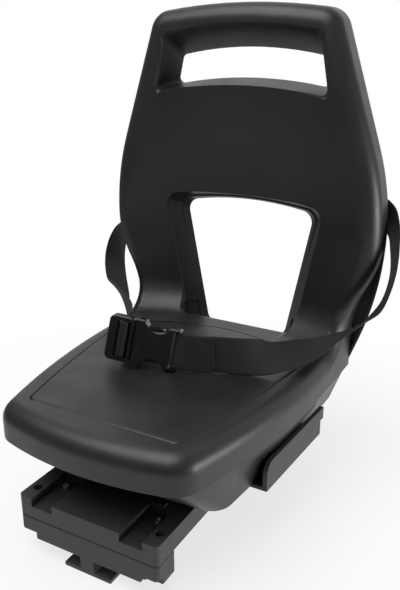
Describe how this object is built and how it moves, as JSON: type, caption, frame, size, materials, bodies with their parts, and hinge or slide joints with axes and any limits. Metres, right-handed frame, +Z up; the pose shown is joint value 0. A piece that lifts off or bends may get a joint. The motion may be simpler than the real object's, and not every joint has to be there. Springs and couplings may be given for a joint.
{
  "type": "child bike seat",
  "caption": "Child seat for a rear bicycle carrier: two-piece moulded pan and backrest with pad, lap belt, carrier adapter with hook and spring latch.",
  "frame": {"origin": "front end of the hook's tongue, in the middle of its underside, level with what the part stands on", "axes": "+X to the viewer's right when seen from the front, +Y to the rear behind the backrest, +Z up"},
  "size_m": [0.3894, 0.3697, 0.516],
  "materials": {
    "shell_plastic": "fine-grained charcoal moulded plastic",
    "pad_skin": "smooth charcoal imitation-leather foam pad",
    "adapter_plastic": "dull dark grey glass-filled plastic",
    "lever_plastic": "plain black plastic",
    "buckle_plastic": "satin black acetal",
    "webbing": "black ribbed polyester webbing",
    "zinc": "bright zinc-plated steel",
    "steel": "plain spring steel"
  },
  "bodies": {
    "seat": {"front_shell": "shell_plastic", "rear_shell": "shell_plastic", "seat_pad": "pad_skin", "seat_cradle": "adapter_plastic", "adapter_plate": "adapter_plastic", "hook_block": "adapter_plastic", "latch_block": "adapter_plastic", "latch_pin": "steel", "latch_spring": "steel", "back_screws": "zinc", "pan_screws": "zinc", "hook_screws": "zinc", "latch_screws": "zinc", "cradle_bolts": "zinc", "cradle_washers": "zinc", "cradle_nuts": "zinc", "buckle_body": "buckle_plastic", "belt_strap_right": "webbing", "belt_strap_left": "webbing", "strap_anchors": "lever_plastic", "anchor_screws": "zinc"},
    "lever": {"latch_lever": "lever_plastic"},
    "tongue": {"buckle_tongue": "buckle_plastic"}
  },
  "joints": [
    {"name": "latch_hinge", "type": "hinge", "parent": "seat", "child": "lever", "pos_m": [0, 0.288, 0.028], "axis": [1, 0, 0], "range_deg": [0, 20], "stiffness_Nm_per_rad": 0.4, "springref_deg": -5.73, "deforming": ["latch_spring"]},
    {"name": "buckle_slide", "type": "slide", "parent": "seat", "child": "tongue", "axis": [-0.9418, -0.3006, 0.1503], "range_m": [0, 0.046], "deforming": ["belt_strap_left"]}
  ]
}
